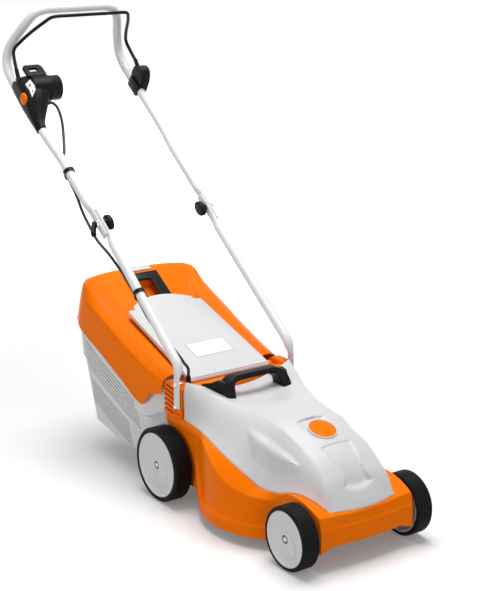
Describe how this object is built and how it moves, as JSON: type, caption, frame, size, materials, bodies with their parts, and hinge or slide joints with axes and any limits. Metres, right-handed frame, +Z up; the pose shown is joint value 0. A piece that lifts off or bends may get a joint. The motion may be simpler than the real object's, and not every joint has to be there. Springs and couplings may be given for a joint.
{
  "type": "electric lawn mower",
  "caption": "Corded rotary lawn mower with a domed motor hood, a rear grass box under a hinged flap, and a folding tube handle with a switch bail.",
  "frame": {"origin": "on the ground, under the middle of the mower's length and width", "axes": "+Z up; the mower drives towards -Y with its handle at +Y; +X is the mower's own left-hand side"},
  "size_m": [0.372, 1.1934, 0.9993],
  "materials": {
    "orange_plastic": "injection-moulded orange plastic with a fine texture",
    "light_plastic": "light grey injection-moulded plastic",
    "basket_plastic": "mid grey plastic",
    "black_plastic": "black textured plastic",
    "dark_plastic": "dark grey plastic",
    "rubber": "black wheel rubber with fine grooves",
    "cable": "black cable sheath",
    "handle_tube": "light silver-grey coated tube",
    "steel": "zinc-plated steel",
    "core": "laminated core with copper windings"
  },
  "bodies": {
    "mower": {"deck_housing": "orange_plastic", "motor_hood": "light_plastic", "hood_badge": "orange_plastic", "carry_handle": "black_plastic", "motor_can": "steel", "stator": "core", "lower_bearing": "steel", "upper_bearing": "steel", "flap_hinge_pin": "steel", "handle_mount_left": "orange_plastic", "handle_mount_right": "orange_plastic", "lower_handle_left": "handle_tube", "lower_handle_right": "handle_tube", "foot_bolt_left_upper": "steel", "foot_bolt_left_lower": "steel", "foot_bolt_right_upper": "steel", "foot_bolt_right_lower": "steel", "fold_bolt_left": "steel", "fold_bolt_right": "steel", "lead_lower": "cable", "lead_grommet": "black_plastic", "lead_clip_lower": "black_plastic", "lead_hook": "black_plastic"},
    "grass_box": {"grass_box_lid": "orange_plastic", "grass_box_basket": "basket_plastic", "grass_box_grip": "black_plastic"},
    "level_indicator": {"level_indicator": "light_plastic"},
    "discharge_flap": {"discharge_flap": "light_plastic"},
    "blade_set": {"rotor": "core", "motor_shaft": "steel", "cooling_fan": "black_plastic", "blade_carrier": "black_plastic", "mower_blade": "steel", "blade_bolt": "steel"},
    "front_axle": {"front_axle": "steel"},
    "rear_axle": {"rear_axle": "steel"},
    "front_wheel_left": {"tyre_front_left": "rubber", "rim_front_left": "light_plastic", "hub_cap_front_left": "dark_plastic"},
    "front_wheel_right": {"tyre_front_right": "rubber", "rim_front_right": "light_plastic", "hub_cap_front_right": "dark_plastic"},
    "rear_wheel_left": {"tyre_rear_left": "rubber", "rim_rear_left": "light_plastic", "hub_cap_rear_left": "dark_plastic"},
    "rear_wheel_right": {"tyre_rear_right": "rubber", "rim_rear_right": "light_plastic", "hub_cap_rear_right": "dark_plastic"},
    "handle": {"upper_handle": "handle_tube", "bail_bracket": "black_plastic", "switch_box": "black_plastic", "inlet_shroud": "black_plastic", "inlet_insert": "black_plastic", "switch_module": "dark_plastic", "lead_upper": "cable", "lead_clip_upper": "black_plastic"},
    "bail": {"bail": "steel"},
    "start_button": {"start_button": "orange_plastic"},
    "fold_knob_left": {"fold_knob_left": "black_plastic"},
    "fold_knob_right": {"fold_knob_right": "black_plastic"}
  },
  "joints": [
    {"name": "grass_box_removal", "type": "slide", "parent": "mower", "child": "grass_box", "axis": [0, 0.9498, 0.313], "range_m": [0, 0.3]},
    {"name": "level_indicator_hinge", "type": "hinge", "parent": "grass_box", "child": "level_indicator", "pos_m": [0, 0.26325, 0.3991], "axis": [1, 0, 0], "range_deg": [0, 25]},
    {"name": "discharge_flap_hinge", "type": "hinge", "parent": "mower", "child": "discharge_flap", "pos_m": [0, -0.11375, 0.256], "axis": [1, 0, 0], "range_deg": [0, 75]},
    {"name": "blade_spin", "type": "hinge", "parent": "mower", "child": "blade_set", "pos_m": [0, -0.31975, 0.1], "axis": [0, 0, 1], "continuous": true},
    {"name": "front_cutting_height", "type": "hinge", "parent": "mower", "child": "front_axle", "pos_m": [0, -0.51215, 0.045], "axis": [1, 0, 0], "range_deg": [0, 91]},
    {"name": "rear_cutting_height", "type": "hinge", "parent": "mower", "child": "rear_axle", "pos_m": [0, -0.12535, 0.061], "axis": [-1, 0, 0], "range_deg": [0, 91]},
    {"name": "front_wheel_left_spin", "type": "hinge", "parent": "front_axle", "child": "front_wheel_left", "pos_m": [0.143, -0.53175, 0.065], "axis": [1, 0, 0], "continuous": true},
    {"name": "front_wheel_right_spin", "type": "hinge", "parent": "front_axle", "child": "front_wheel_right", "pos_m": [-0.143, -0.53175, 0.065], "axis": [1, 0, 0], "continuous": true},
    {"name": "rear_wheel_left_spin", "type": "hinge", "parent": "rear_axle", "child": "rear_wheel_left", "pos_m": [0.165, -0.10575, 0.081], "axis": [1, 0, 0], "continuous": true},
    {"name": "rear_wheel_right_spin", "type": "hinge", "parent": "rear_axle", "child": "rear_wheel_right", "pos_m": [-0.165, -0.10575, 0.081], "axis": [1, 0, 0], "continuous": true},
    {"name": "handle_fold", "type": "hinge", "parent": "mower", "child": "handle", "pos_m": [0, 0.17925, 0.5495], "axis": [1, 0, 0], "range_deg": [0, 138]},
    {"name": "bail_swing", "type": "hinge", "parent": "handle", "child": "bail", "pos_m": [0, 0.50925, 0.832], "axis": [-1, 0, 0], "range_deg": [0, 17], "stiffness_Nm_per_rad": 1.5, "springref_deg": -17.19},
    {"name": "start_button_press", "type": "slide", "parent": "handle", "child": "start_button", "axis": [1, 0, 0], "range_m": [0, 0.0015], "stiffness_N_per_m": 400, "springref_m": -0.002},
    {"name": "fold_knob_left_turn", "type": "hinge", "parent": "mower", "child": "fold_knob_left", "pos_m": [0.12, 0.17925, 0.5495], "axis": [1, 0, 0], "continuous": true},
    {"name": "fold_knob_right_turn", "type": "hinge", "parent": "mower", "child": "fold_knob_right", "pos_m": [-0.12, 0.17925, 0.5495], "axis": [1, 0, 0], "continuous": true}
  ]
}
